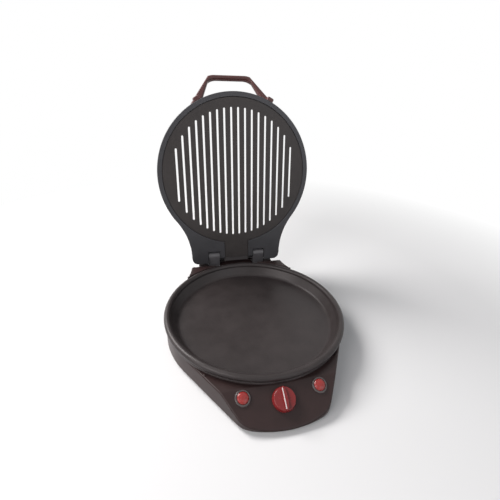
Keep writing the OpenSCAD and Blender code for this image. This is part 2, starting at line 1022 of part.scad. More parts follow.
module lid_cover_screws() {
    color("silver")
        on_lid()
            for (a = boss_angles)
                rotate([0, 0, a])
                    translate([boss_ring_r, 0, boss_seat_z])
                        screw(12, 2.4, 1.6);
}

module lid_heating_element() {
    color([0.35, 0.35, 0.33])
        on_lid()
            translate([0, 0, lid_ring_z])
                heater_tube(lid_ring_r, element_r, 7, 8, 4);
}

// Flat sheet ring between the heating tube and the cover
module lid_reflector() {
    color([0.75, 0.75, 0.74])
        on_lid()
            difference() {
                translate([0, 0, shade_z])
                    ring_solid(cover_r - 5.5, flare_r + 2, 0.8, $fn = 180);
                for (a = boss_angles)
                    rotate([0, 0, a])
                        translate([boss_ring_r, 0, 0])
                            cylinder(r = boss_r + 0.4, h = 60);
                for (a = lid_clip_angles)
                    rotate([0, 0, a])
                        translate([crest_r - 2, -3.3, shade_z - 1])
                            cube([2.2, 6.6, 10]);
                translate([-20, flare_r + 4.5, 0])
                    cube([40, 26, 60]);
            }
}

// Clips that hold the tube, carry the reflector and stand on the inside of the cover's crest
module lid_element_clips() {
    inner = lid_ring_r - 3.4;
    outer = lid_ring_r + 3.6;
    color("silver")
        on_lid()
            for (a = lid_clip_angles)
                rotate([0, 0, a]) {
                    difference() {
                        translate([0, 4, 0])
                            rotate([90, 0, 0])
                                linear_extrude(8)
                                    polygon([[inner, lid_ring_z - 1], [outer, lid_ring_z - 1], [outer, shade_z],
                                        [inner + 2.8, shade_z], [inner, lid_ring_z + 2.5]]);
                        translate([lid_ring_r - 20, -3, 0])
                            cube([40, 6, shade_z - 1]);
                        translate([lid_ring_r, 0, lid_ring_z])
                            rotate([90, 0, 0])
                                cylinder(r = element_r + 0.2, h = 20, center = true);
                    }
                    translate([crest_r - 1.8, -3, shade_z - eps])
                        cube([1.8, 6, lid_h - cover_t - shade_z + eps]);
                }
}

module lid_terminal_block() {
    color([0.9, 0.9, 0.86])
        on_lid()
            translate([-17, 162.5, lip_top])
                difference() {
                    cube([34, 14, 11]);
                    for (i = [0:2])
                        translate([6 + i * 11, 7, 4])
                            cylinder(r = 2, h = 10);
                }
}

// Outline of the handle in its own sloped plane
module handle_plan() {
    difference() {
        hull() {
            for (s = sides) {
                translate([s * 83, 4])
                    circle(r = 9, $fn = 48);
                translate([s * 31.5, handle_reach - 32])
                    circle(r = 32, $fn = 96);
            }
        }
        hull() {
            for (s = sides) {
                translate([s * 62, -10])
                    circle(r = 10, $fn = 48);
                translate([s * 28, handle_reach - 33.5])
                    circle(r = 24, $fn = 96);
            }
        }
        translate([-58, -30])
            square([116, 40]);
    }
}

module lid_handle() {
    color([0.36, 0.1, 0.1])
        on_lid()
            difference() {
                union() {
                    translate([0, -handle_base_y, handle_base_z])
                        rotate([-handle_slope, 0, 0])
                            mirror([0, 1, 0])
                                translate([0, 0, -handle_t / 2])
                                    linear_extrude(handle_t)
                                        handle_plan();
                    for (s = sides)
                        rotate([0, 0, s * handle_screw_a])
                            translate([-7, -lid_r - 8, 3])
                                cube([14, 13, 17]);
                }
                translate([0, 0, -30])
                    cylinder(r = lid_r + 0.05, h = 100, $fn = 180);
                translate([-200, -300, -100])
                    cube([400, 400, 101.5]);
                for (s = sides)
                    rotate([0, 0, s * handle_screw_a])
                        translate([0, -lid_r - 6.5, handle_screw_z])
                            rotate([-90, 0, 0])
                                cylinder(r = screw_r, h = 12);
            }
}

module handle_screws() {
    color("silver")
        on_lid()
            for (s = sides)
                rotate([0, 0, s * handle_screw_a])
                    translate([0, -lid_r + wall, handle_screw_z])
                        rotate([-90, 0, 0])
                            screw(9, 2.2);
}

module hinge_bushes() {
    color([0.75, 0.6, 0.3])
        on_lid()
            difference() {
                ear_pair(bush_r);
                translate([0, hinge_back, hinge_rise])
                    along_x(-100, 100, pin_r + run_gap);
            }
}

module control_knob() {
    color([0.62, 0.07, 0.06])
        on_panel(0, knob_reach)
            translate([0, 0, knob_gap])
                difference() {
                    union() {
                        cylinder(r = knob_d / 2, h = 3);
                        translate([0, 0, 3])
                            cylinder(r1 = knob_d / 2, r2 = knob_d / 2 - 2, h = knob_h - 3);
                        intersection() {
                            translate([-grip_w / 2, -knob_d, 4])
                                cube([grip_w, 2 * knob_d, grip_h - 4]);
                            cylinder(r1 = knob_d / 2 - 0.4, r2 = knob_d / 2 - 1.6, h = grip_h + 1);
                        }
                    }
                    translate([0, 0, -eps])
                        cylinder(r = 8.6, h = 4);
                    cylinder(r = pin_r, h = 11);
                    translate([pointer_x - pointer_w / 2, -pointer_l / 2, grip_h - 0.8])
                        cube([pointer_w, pointer_l, 2]);
                }
}

module knob_pointer() {
    color([0.95, 0.93, 0.9])
        on_panel(0, knob_reach)
            translate([pointer_x - pointer_w / 2, -pointer_l / 2, knob_gap + grip_h - 0.8])
                cube([pointer_w, pointer_l, 0.7]);
}

module thermostat_shaft() {
    color("silver")
        on_panel(0, knob_reach)
            translate([0, 0, -wall - 6])
                cylinder(r = pin_r, h = wall + 16);
}

placed() base_housing();
placed() base_plate();
placed() rubber_feet();
placed() foot_screws();
placed() base_plate_screws();
placed() screw_caps();
placed() pan_seat_ring();
placed() cooking_pan();
placed() lower_heating_element();
placed() element_clamps();
placed() heat_reflector();
placed() reflector_posts();
placed() post_nuts();
placed() thermostat_body();
placed() thermostat_bushing();
placed() thermostat_nut();
placed() lamp_bezel(-1);  // left_lamp_bezel
placed() lamp_bezel(1);  // right_lamp_bezel
placed() lamp_lens(-1);  // left_lamp_lens
placed() lamp_lens(1);  // right_lamp_lens
placed() lamp_holder(-1);  // left_lamp_holder
placed() lamp_holder(1);  // right_lamp_holder
placed() thermal_fuse();
placed() terminal_block();
placed() supply_wires();
placed() cable_gland();
placed() gland_nut();
placed() hinge_arm(-1);  // left_hinge_arm
placed() hinge_arm(1);  // right_hinge_arm
placed() hinge_arm_screws();
placed() hinge_pin(-1);  // left_hinge_pin
placed() hinge_pin(1);  // right_hinge_pin
placed() lid_frame();
placed() lid_grill_plate();
placed() grill_plate_nuts();
placed() lid_cover();
placed() lid_cover_screws();
placed() lid_heating_element();
placed() lid_reflector();
placed() lid_element_clips();
placed() lid_terminal_block();
placed() lid_handle();
placed() handle_screws();
placed() hinge_bushes();
placed() control_knob();
placed() knob_pointer();
placed() thermostat_shaft();
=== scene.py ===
import math

import bmesh
import bpy
from mathutils import Matrix, Vector, geometry


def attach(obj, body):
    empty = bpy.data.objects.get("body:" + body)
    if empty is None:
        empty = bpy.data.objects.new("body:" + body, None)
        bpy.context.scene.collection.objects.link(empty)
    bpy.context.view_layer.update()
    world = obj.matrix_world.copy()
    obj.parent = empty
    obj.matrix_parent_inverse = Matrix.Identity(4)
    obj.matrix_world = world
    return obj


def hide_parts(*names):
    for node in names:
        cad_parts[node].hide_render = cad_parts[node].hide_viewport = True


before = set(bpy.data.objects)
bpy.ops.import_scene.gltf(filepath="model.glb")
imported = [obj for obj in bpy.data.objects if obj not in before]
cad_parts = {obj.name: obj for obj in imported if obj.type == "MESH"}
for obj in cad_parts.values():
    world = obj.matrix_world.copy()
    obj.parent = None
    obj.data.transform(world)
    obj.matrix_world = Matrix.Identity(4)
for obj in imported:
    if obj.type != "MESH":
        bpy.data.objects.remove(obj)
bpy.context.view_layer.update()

MM = 0.001
SIDES = (-1, 1)

# Sizes, in millimetres, as in the CAD source
# the base: pan, housing, knob, lamps and the back
RIM_TOP = 56.0
BODY_R = 166.5
RIM_R = 170.0
BEAD_R = 6.0
MOUTH_R = 158.0
SEAT_Z = 40.0
FLOOR_Z = 32.0
PAN_BOTTOM = 29.0
SEAT_TOP = 44.0
OPENING_R = 161.0
CAP_X = 111.5
CAP_Y = 130.0
SLOPE = math.radians(29)
PANEL_DROP = 13.5
SIDE_A = 31.0
CORNER_R = 36.0
FRONT_R = 170.0
FRONT_Y = 54.0
KNOB_REACH = 188.5
LAMP_REACH = 178.5
LAMP_X = 61.0
KNOB_R = 18.5
KNOB_TOP = 9.0
LENS_R = 8.8
FOOT_H = 6.0
REAR_Y = 171.0
DECK_Y = 166.0
DECK_Z = 49.0
LEDGE_HALF = 86.0
LEDGE_Y = 190.0
LEDGE_BACK_Y = 203.0
LEDGE_TOP = 52.0
# the hinge and the lid, in the lid's own closed frame
HINGE_Y = 185.5
HINGE_RISE = 13.5
AXIS_Z = 70.0
OPEN_A = math.radians(100)
LID_R = 163.0
PLATE_R = 153.0
PLATE_Z = 1.6
NECK_HALF = 101.5
NECK_END = 200.0
NECK_CORNER = 14.0
FILLET_Y = 185.0
FILLET_R = (NECK_HALF ** 2 + FILLET_Y ** 2 - LID_R ** 2) / (2 * (LID_R - NECK_HALF))
FILLET_X = NECK_HALF + FILLET_R
FILLET_A = math.degrees(math.atan2(FILLET_Y, FILLET_X))
ARM_X = 52.0
ARM_W = 25.0
NOTCH_Y = 173.0
NOTCH_IN = ARM_X - ARM_W / 2 - 1
NOTCH_OUT = ARM_X + ARM_W / 2 + 1
TONGUE_X = 27.0
TONGUE_Y = 189.0
EAR_R = 11.0
LID_H = 32.0
COVER_Z = 14.3
COVER_R = LID_R - 0.8
CREST_R = COVER_R - 10
DISH_R = 135.5
DISH_Z = PLATE_Z + 3.4
FLARE_R = DISH_R + 11
# the handle
HANDLE_REACH = 87.0
HANDLE_SLOPE = math.radians(38)
HANDLE_Y = 128.0
HANDLE_Z = 11.0
HANDLE_T = 11.0
HANDLE_EDGE = 3.6
PAD_A = math.radians(27)
PAD_HALF = 7.0
PAD_OUT = 8.0
PAD_LOW = 3.0
PAD_TOP = 20.0
PAD_EDGE = 2.5
# how far the console reaches in front
FRONT_REACH = 224.0

# the origin is under the middle of the object's box
TIP_Y = -HANDLE_Y - HANDLE_REACH * math.cos(HANDLE_SLOPE) + HANDLE_T / 2 * math.sin(HANDLE_SLOPE)
TIP_Z = HANDLE_Z + HANDLE_REACH * math.sin(HANDLE_SLOPE) + HANDLE_T / 2 * math.cos(HANDLE_SLOPE)
REAR_REACH = HINGE_Y + (TIP_Y - HINGE_Y) * math.cos(OPEN_A) + (TIP_Z - HINGE_RISE) * math.sin(OPEN_A)
MID_Y = (REAR_REACH - FRONT_REACH) / 2
PART = Matrix.Scale(MM, 4) @ Matrix.Translation((0, -MID_Y, 0))


# Placement
def panel_z(reach):
    return RIM_TOP - PANEL_DROP - (reach - MOUTH_R - 5) * math.tan(SLOPE)


def on_panel(x, reach):
    return Matrix.Translation((x, -reach, panel_z(reach))) @ Matrix.Rotation(SLOPE, 4, "X")


KNOB = on_panel(0, KNOB_REACH) @ Matrix.Translation((0, 0, 0.5))
LID = (Matrix.Translation((0, HINGE_Y, AXIS_Z)) @ Matrix.Rotation(-OPEN_A, 4, "X")
       @ Matrix.Translation((0, -HINGE_Y, -HINGE_RISE)))


# Plane outlines
def arc(cx, cy, r, a0, a1, step=4.0):
    n = max(2, int(math.ceil(abs(a1 - a0) / step)) + 1)
    return [(cx + r * math.cos(math.radians(a0 + (a1 - a0) * i / (n - 1))),
             cy + r * math.sin(math.radians(a0 + (a1 - a0) * i / (n - 1)))) for i in range(n)]


def line(a, b, step):
    n = max(1, int(round(math.dist(a, b) / step)))
    return [(a[0] + (b[0] - a[0]) * i / n, a[1] + (b[1] - a[1]) * i / n) for i in range(n + 1)]


def rounded(points, radii, seg=6, closed=True):
    """Each corner of the outline becomes an arc of its own radius."""
    out = []
    n = len(points)
    for i, p in enumerate(points):
        r = radii[i] if isinstance(radii, (list, tuple)) else radii
        if r <= 0 or (not closed and i in (0, n - 1)):
            out.append(p)
            continue
        a, b = points[i - 1], points[(i + 1) % n]
        u = Vector((a[0] - p[0], a[1] - p[1]))
        v = Vector((b[0] - p[0], b[1] - p[1]))
        lu, lv = u.length, v.length
        u.normalize()
        v.normalize()
        ang = u.angle(v)
        t = min(r / math.tan(ang / 2), lu * 0.49, lv * 0.49)
        rr = t * math.tan(ang / 2)
        s = Vector(p) + u * t
        e = Vector(p) + v * t
        c = Vector(p) + (u + v).normalized() * (rr / math.sin(ang / 2))
        a0 = math.atan2(s.y - c.y, s.x - c.x)
        a1 = math.atan2(e.y - c.y, e.x - c.x)
        while a1 - a0 > math.pi:
            a1 -= 2 * math.pi
        while a1 - a0 < -math.pi:
            a1 += 2 * math.pi
        for k in range(seg + 1):
            t_ = a0 + (a1 - a0) * k / seg
            out.append((c.x + rr * math.cos(t_), c.y + rr * math.sin(t_)))
    return clean(out)


def tangent_arc(c0, r0, c1, r1, step=6.0):
    """The arc of the second circle from its outer tangent with the first one up to its top."""
    d = math.dist(c0, c1)
    along = math.atan2(c1[1] - c0[1], c1[0] - c0[0])
    a = math.degrees(along - math.pi / 2 + math.asin((r1 - r0) / d))
    start = (c0[0] + r0 * math.cos(math.radians(a)), c0[1] + r0 * math.sin(math.radians(a)))
    return [p for p in [start] if p[1] > 2] + arc(c1[0], c1[1], r1, a, 90, step)


def clean(points, tol=1e-4):
    out = []
    for p in points:
        if not out or math.dist(p, out[-1]) > tol:
            out.append(p)
    if len(out) > 1 and math.dist(out[0], out[-1]) <= tol:
        out.pop()
    return out


def area(points):
    return sum(a[0] * b[1] - b[0] * a[1] for a, b in zip(points[-1:] + points[:-1], points)) / 2


def mirror(points):
    return [(-x, y) for x, y in points[::-1]]


def ccw(points):
    points = clean(points)
    return points if area(points) > 0 else points[::-1]


def inset(points, d):
    """The outline moved to its left by d: inwards on a counter-clockwise loop."""
    out = []
    n = len(points)
    for i, p in enumerate(points):
        a, b = points[i - 1], points[(i + 1) % n]
        e1 = Vector((p[0] - a[0], p[1] - a[1])).normalized()
        e2 = Vector((b[0] - p[0], b[1] - p[1])).normalized()
        n1 = Vector((-e1.y, e1.x))
        n2 = Vector((-e2.y, e2.x))
        m = (n1 + n2) / max(0.25, 1 + n1.dot(n2))
        out.append((p[0] + m.x * d, p[1] + m.y * d))
    return out


# Meshes
def finish_piece(name, bm, place, body, material, nodes=(), sharp=34.0):
    """The finished mesh goes where the CAD says, rides on its body and stands for its CAD nodes."""
    bmesh.ops.remove_doubles(bm, verts=bm.verts, dist=1e-5)
    bmesh.ops.recalc_face_normals(bm, faces=bm.faces)
    me = bpy.data.meshes.new(name)
    bm.to_mesh(me)
    bm.free()
    me.transform(PART @ place)
    for p in me.polygons:
        p.use_smooth = True
    me.set_sharp_from_angle(angle=math.radians(sharp))
    ob = bpy.data.objects.new(name, me)
    bpy.context.scene.collection.objects.link(ob)
    wn = ob.modifiers.new("normals", "WEIGHTED_NORMAL")
    wn.keep_sharp = True
    wn.weight = 60
    ob.data.materials.append(material)
    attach(ob, body)
    if nodes:
        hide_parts(*nodes)
    return ob


def ring_of(bm, points, z):
    return [bm.verts.new((p[0], p[1], z)) for p in points]


def bridge(bm, a, b):
    """Faces between two closed rings, a triangle where they share a point."""
    n = len(a)
    for i in range(n):
        j = (i + 1) % n
        if a[i] is b[i] and a[j] is b[j]:
            continue
        verts = []
        for v in (a[i], a[j], b[j], b[i]):
            if v not in verts:
                verts.append(v)
        if len(verts) > 2:
            bm.faces.new(verts)


def cap(bm, rings, flip=False):
    """Fills an outer ring with its holes."""
    loops = [[v.co.copy() for v in r] for r in rings]
    flat = [v for r in rings for v in r]
    for t in geometry.tessellate_polygon(loops):
        if len(set(t)) == 3:
            vs = [flat[i] for i in (t if not flip else t[::-1])]
            try:
                bm.faces.new(vs)
            except ValueError:
                pass


def quarter(radius, seg):
    """Steps of a rounded edge: how far in, and how far from the face."""
    if radius <= 0:
        return [(0, 0)]
    turns = [math.pi / 2 * k / seg for k in range(seg + 1)]
    return [(radius * (1 - math.sin(a)), radius * (1 - math.cos(a))) for a in turns]


def prism(bm, outer, z0, z1, b0=0.6, b1=0.6, holes=(), seg=4):
    """An upright solid with rounded edges: b0 and b1 are the radii at the lower and upper edge."""
    bottoms, tops = [], []
    for outline in [ccw(outer)] + [ccw(h)[::-1] for h in holes]:
        steps = [(d, z0 + up) for d, up in quarter(b0, seg)]
        steps += [(d, z1 - down) for d, down in quarter(b1, seg)[::-1]]
        rings = [ring_of(bm, inset(outline, d) if d > 1e-6 else outline, z) for d, z in steps]
        for a, b in zip(rings, rings[1:]):
            bridge(bm, a, b)
        bottoms.append(rings[0])
        tops.append(rings[-1])
    cap(bm, bottoms, flip=True)
    cap(bm, tops)


def lathe(bm, profile, n=160, closed=False, m=Matrix.Identity(4)):
    """Turns a profile of (radius, height) round the z axis."""
    turns = [2 * math.pi * i / n for i in range(n)]
    rings = []
    for r, z in profile:
        if r < 1e-6:
            rings.append([bm.verts.new(m @ Vector((0, 0, z)))] * n)
        else:
            rings.append([bm.verts.new(m @ Vector((r * math.cos(a), r * math.sin(a), z))) for a in turns])
    pairs = list(zip(rings, rings[1:]))
    if closed:
        pairs.append((rings[-1], rings[0]))
    for a, b in pairs:
        bridge(bm, a, b)


def moved(bm, m, start):
    """Moves the vertices made since start."""
    bm.verts.ensure_lookup_table()
    for v in bm.verts[start:]:
        v.co = m @ v.co


# Materials
def noise(nt, place, scale, detail, roughness=0.5):
    n = nt.nodes.new("ShaderNodeTexNoise")
    n.inputs["Scale"].default_value = scale
    n.inputs["Detail"].default_value = detail
    n.inputs["Roughness"].default_value = roughness
    nt.links.new(place, n.inputs["Vector"])
    return n.outputs["Fac"]


def spread(nt, value, low, high, to_low=0.0, to_high=1.0):
    """Maps low..high to to_low..to_high."""
    n = nt.nodes.new("ShaderNodeMapRange")
    n.inputs["From Min"].default_value = low
    n.inputs["From Max"].default_value = high
    n.inputs["To Min"].default_value = to_low
    n.inputs["To Max"].default_value = to_high
    nt.links.new(value, n.inputs["Value"])
    return n.outputs[0]


def maths(nt, operation, *terms):
    """A maths node, each term a number or a socket."""
    n = nt.nodes.new("ShaderNodeMath")
    n.operation = operation
    for socket, term in zip(n.inputs, terms):
        if isinstance(term, (int, float)):
            socket.default_value = term
        else:
            nt.links.new(term, socket)
    return n.outputs[0]


def blend(nt, under, over, factor):
    """Mixes the colour over into the colour or socket under."""
    n = nt.nodes.new("ShaderNodeMix")
    n.data_type = "RGBA"
    if isinstance(under, tuple):
        n.inputs["A"].default_value = (*under, 1)
    else:
        nt.links.new(under, n.inputs["A"])
    n.inputs["B"].default_value = (*over, 1)
    nt.links.new(factor, n.inputs["Factor"])
    return n.outputs["Result"]


def turned_rings(nt, place, spacing=0.0011):
    """A wave that runs out from the middle, as on a turned surface."""
    apart = nt.nodes.new("ShaderNodeSeparateXYZ")
    nt.links.new(place, apart.inputs[0])
    flat = nt.nodes.new("ShaderNodeCombineXYZ")
    nt.links.new(apart.outputs["X"], flat.inputs["X"])
    nt.links.new(apart.outputs["Y"], flat.inputs["Y"])
    length = nt.nodes.new("ShaderNodeVectorMath")
    length.operation = "LENGTH"
    nt.links.new(flat.outputs[0], length.inputs[0])
    return maths(nt, "SINE", maths(nt, "MULTIPLY", length.outputs["Value"], 2 * math.pi / spacing))


def material(name, colour, rough, metallic=0.0, vary=0.12, scale=60.0, bump=0.05, bump_scale=900.0,
             bump_depth=0.00006, edge_wear_and_highlight=0.0, edge_wear_and_highlight_colour=None, coat=0.0, coat_rough=0.2, spec=0.5,
             rough_vary=0.08, rings=0.0, brushed=None, emission=0.0, emission_colour=None, sub=0.0,
             dust=0.0, dust_colour=None):
    """Moulded, cast, coated or painted finish with mottled colour, fine surface grain, and edges made
    lighter: wear on most finishes, a painted highlight on the lid coating.
    """
    mat = bpy.data.materials.new(name)
    mat.use_nodes = True
    nt = mat.node_tree
    nt.nodes.clear()
    out = nt.nodes.new("ShaderNodeOutputMaterial")
    shader = nt.nodes.new("ShaderNodeBsdfPrincipled")
    nt.links.new(shader.outputs[0], out.inputs[0])
    place = nt.nodes.new("ShaderNodeTexCoord").outputs["Object"]

    # colour: mottled, with fine specks and lighter edges, which are wear and, on the lid coating, a painted
    # highlight
    mottle = noise(nt, place, scale, 5, 0.6)
    darker = tuple(c * (1 - vary) for c in colour)
    lighter = tuple(min(1, c * (1 + vary)) for c in colour)
    shown = blend(nt, darker, lighter, spread(nt, mottle, 0.3, 0.7))
    if dust > 0:
        specks = spread(nt, noise(nt, place, 2600, 2), 0.66, 0.76, 0, dust)
        shown = blend(nt, shown, dust_colour, specks)
    # lighter colour at sharp edges: wear, and on the lid coating a painted highlight
    if edge_wear_and_highlight > 0:
        worn_and_lit_edges = spread(nt, nt.nodes.new("ShaderNodeNewGeometry").outputs["Pointiness"], 0.52, 0.62, 0, edge_wear_and_highlight)
        shown = blend(nt, shown, edge_wear_and_highlight_colour, maths(nt, "MULTIPLY", worn_and_lit_edges, mottle))
    nt.links.new(shown, shader.inputs["Base Color"])
    roughness = spread(nt, mottle, 0.3, 0.7, max(0.02, rough - rough_vary), min(1, rough + rough_vary))
    nt.links.new(roughness, shader.inputs["Roughness"])

    # surface grain, with turning rings or a brushed direction
    height = noise(nt, place, bump_scale, 3)
    if rings > 0:
        height = maths(nt, "MULTIPLY_ADD", turned_rings(nt, place), rings, height)
    if brushed:
        stretch = nt.nodes.new("ShaderNodeMapping")
        stretch.inputs["Scale"].default_value = brushed
        nt.links.new(place, stretch.inputs["Vector"])
        height = maths(nt, "ADD", noise(nt, stretch.outputs[0], 300, 4), height)
    grain = nt.nodes.new("ShaderNodeBump")
    grain.inputs["Strength"].default_value = bump
    grain.inputs["Distance"].default_value = bump_depth
    nt.links.new(height, grain.inputs["Height"])
    nt.links.new(grain.outputs[0], shader.inputs["Normal"])

    shader.inputs["Metallic"].default_value = metallic
    shader.inputs["Specular IOR Level"].default_value = spec
    shader.inputs["Coat Weight"].default_value = coat
    shader.inputs["Coat Roughness"].default_value = coat_rough
    if emission > 0:
        shader.inputs["Emission Color"].default_value = (*emission_colour, 1)
        shader.inputs["Emission Strength"].default_value = emission
    if sub > 0:
        shader.inputs["Subsurface Weight"].default_value = sub
        shader.inputs["Subsurface Radius"].default_value = (1.0, 0.2, 0.1)
        shader.inputs["Subsurface Scale"].default_value = 0.004
    return mat


HOUSING = material("housing_plastic", (0.032, 0.0185, 0.0180), 0.36, vary=0.14, scale=22, bump=0.35,
                   bump_scale=1500, bump_depth=0.00005, edge_wear_and_highlight=0.25, edge_wear_and_highlight_colour=(0.13, 0.095, 0.095),
                   spec=0.22, rough_vary=0.05, dust=0.25, dust_colour=(0.07, 0.052, 0.052))
COVER = material("cover_plastic", (0.055, 0.049, 0.050), 0.45, vary=0.10, scale=20, bump=0.35,
                 bump_scale=1400, bump_depth=0.00005, edge_wear_and_highlight=0.25, edge_wear_and_highlight_colour=(0.15, 0.13, 0.13),
                 spec=0.45, rough_vary=0.05)
# the lid coating's bright edge colour is a painted highlight: a thin light line along the ring's edges
LID_COAT = material("lid_coating", (0.056, 0.055, 0.060), 0.36, metallic=0.25, vary=0.10, scale=25, bump=0.3,
                    spec=0.32, bump_scale=1100, edge_wear_and_highlight=0.7, edge_wear_and_highlight_colour=(0.30, 0.29, 0.30), rough_vary=0.06,
                    dust=0.5, dust_colour=(0.12, 0.11, 0.11))
NONSTICK = material("nonstick_coating", (0.046, 0.040, 0.039), 0.42, metallic=0.2, vary=0.14, scale=30,
                    bump=0.3, spec=0.30, bump_scale=1000, edge_wear_and_highlight=0.3, edge_wear_and_highlight_colour=(0.2, 0.18, 0.17),
                    rough_vary=0.07, dust=0.6, dust_colour=(0.12, 0.105, 0.10))
PAN_COAT = material("pan_coating", (0.038, 0.031, 0.031), 0.38, metallic=0.1, vary=0.14, scale=28, bump=0.3,
                    spec=0.28, bump_scale=1000, edge_wear_and_highlight=0.3, edge_wear_and_highlight_colour=(0.24, 0.20, 0.19), rough_vary=0.06,
                    rings=0.5, dust=0.6, dust_colour=(0.12, 0.105, 0.10))
SEAL = material("seat_black", (0.050, 0.040, 0.040), 0.50, vary=0.15, bump=0.4, bump_scale=1200)
ARM = material("arm_plastic", (0.066, 0.063, 0.068), 0.36, vary=0.08, scale=30, bump=0.3, bump_scale=1300,
               edge_wear_and_highlight=0.4, edge_wear_and_highlight_colour=(0.25, 0.24, 0.25))
WINE = material("handle_wine", (0.082, 0.024, 0.022), 0.28, vary=0.10, scale=24, bump=0.2, bump_scale=1200,
                bump_depth=0.00004, edge_wear_and_highlight=0.2, edge_wear_and_highlight_colour=(0.2, 0.07, 0.065), spec=0.35, coat=0.1,
                coat_rough=0.18)
RED = material("knob_red", (0.205, 0.017, 0.018), 0.24, vary=0.08, scale=50, bump=0.15, bump_scale=1600,
               bump_depth=0.00003, edge_wear_and_highlight=0.15, edge_wear_and_highlight_colour=(0.45, 0.10, 0.09), spec=0.3, coat=0.15,
               coat_rough=0.12)
PALE = material("pointer_pale", (0.78, 0.70, 0.69), 0.35, vary=0.05, scale=80, bump=0.1)
BEZEL = material("bezel_gloss", (0.045, 0.030, 0.030), 0.2, vary=0.1, bump=0.1, coat=0.5, coat_rough=0.1)
LENS = material("lamp_red", (0.26, 0.016, 0.014), 0.2, vary=0.1, scale=160, bump=0.2, bump_scale=700,
                coat=0.3, coat_rough=0.08, emission=0.06, emission_colour=(1.0, 0.12, 0.10),
                sub=0.3, spec=0.3)
RUBBER = material("foot_rubber", (0.025, 0.024, 0.024), 0.75, vary=0.2, scale=90, bump=0.5)
STEEL = material("zinc_steel", (0.52, 0.52, 0.50), 0.34, metallic=1.0, scale=120, bump=0.3, bump_scale=1500,
                 rough_vary=0.1)
GROUND = material("ground_steel", (0.58, 0.58, 0.58), 0.22, metallic=1.0, vary=0.06, scale=120, bump=0.25,
                  brushed=(0.03, 1, 1))
SHEET = material("bright_sheet", (0.66, 0.66, 0.67), 0.3, metallic=1.0, vary=0.08, scale=40, bump=0.3,
                 brushed=(0.02, 1, 1))
SHEATH = material("heater_sheath", (0.20, 0.185, 0.17), 0.5, metallic=0.9, vary=0.25, bump=0.4)
BRASS = material("plain_brass", (0.62, 0.45, 0.20), 0.32, metallic=1.0, scale=90, bump=0.2)
CERAMIC = material("steatite", (0.72, 0.68, 0.60), 0.55, vary=0.08, scale=70, bump=0.3, bump_scale=800)
WIRE = material("silicone_wire", (0.42, 0.12, 0.08), 0.5, scale=90, bump=0.3)
PLATE = material("base_paint", (0.050, 0.048, 0.048), 0.5, metallic=0.2, scale=26, bump=0.4, bump_scale=1000,
                 edge_wear_and_highlight=0.4, edge_wear_and_highlight_colour=(0.2, 0.2, 0.2))


# Base housing
def body_outline(step=3.0):
    c, s = math.cos(math.radians(SIDE_A)), math.sin(math.radians(SIDE_A))
    d = BODY_R - CORNER_R
    k = d * d - 2 * d * s * FRONT_Y + FRONT_Y ** 2 - (FRONT_R - CORNER_R) ** 2
    m = c * FRONT_Y
    t = m + math.sqrt(m * m - k)
    cx, cy = d * c - t * s, -d * s - t * c
    nose = math.degrees(math.atan2(cy + FRONT_Y, cx))
    right_side = (cx + CORNER_R * c, cy - CORNER_R * s)
    tangent = (BODY_R * c, -BODY_R * s)
    pts = arc(0, 0, BODY_R, -SIDE_A, 180 + SIDE_A, 2.0)
    pts += line((-tangent[0], tangent[1]), (-right_side[0], right_side[1]), step)[1:]
    pts += arc(-cx, cy, CORNER_R, 180 + SIDE_A, 180 - nose, 5.0)[1:]
    pts += arc(0, -FRONT_Y, FRONT_R, 180 - nose, 360 + nose, 1.5)[1:]
    pts += arc(cx, cy, CORNER_R, 360 + nose, 360 - SIDE_A, 5.0)[1:]
    pts += line(right_side, tangent, step)[1:-1]
    return ccw(pts)


def top_z(y, soft=1.1):
    """The ledge under the rim and the sloped panel in front of it, with a soft crease between them."""
    a, b = SEAT_Z, panel_z(-y)
    h = max(soft - abs(a - b), 0.0) / soft
    return min(a, b) - h * h * soft * 0.25


def build_housing():
    bm = bmesh.new()
    outline = body_outline()
    edge, seg = 2.4, 6
    low, wall_low = FOOT_H + 0.2, FOOT_H + 1.6
    rings = []
    # underside, then the wall up to the edge, whose height follows the ledge and the panel
    for d, z in ((6.0, low), (1.2, low), (0.4, FOOT_H + 0.5), (0.0, wall_low)):
        rings.append(ring_of(bm, inset(outline, d) if d else outline, z))
    tops = [top_z(q[1]) for q in inset(outline, edge)]
    for f in (0.25, 0.5, 0.75, 1.0):
        rings.append([bm.verts.new((p[0], p[1], wall_low + (t - edge - wall_low) * f))
                      for p, t in zip(outline, tops)])
    for k in range(1, seg + 1):
        a = math.pi / 2 * k / seg
        rings.append([bm.verts.new((p[0], p[1], top_z(p[1]) - edge * (1 - math.sin(a))))
                      for p in inset(outline, edge * (1 - math.cos(a)))])
    # the top runs in to the round opening under the pan and turns down there
    start, steps, turn_down = inset(outline, edge), 34, 3.0
    for k in range(1, steps + 1):
        ring = []
        for p in start:
            r = math.hypot(*p)
            q = (p[0] * OPENING_R / r, p[1] * OPENING_R / r)
            f = k / steps
            x, y = p[0] + (q[0] - p[0]) * f, p[1] + (q[1] - p[1]) * f
            ring.append(bm.verts.new((x, y, top_z(y))))
        rings.append(ring)
    rings.append([bm.verts.new((v.co.x, v.co.y, v.co.z - turn_down)) for v in rings[-1]])
    for a, b in zip(rings, rings[1:]):
        bridge(bm, a, b)
    build_rear(bm, low)
    return finish_piece("base_shell", bm, Matrix.Identity(4), "base", HOUSING, ["base_housing"],
                        40)


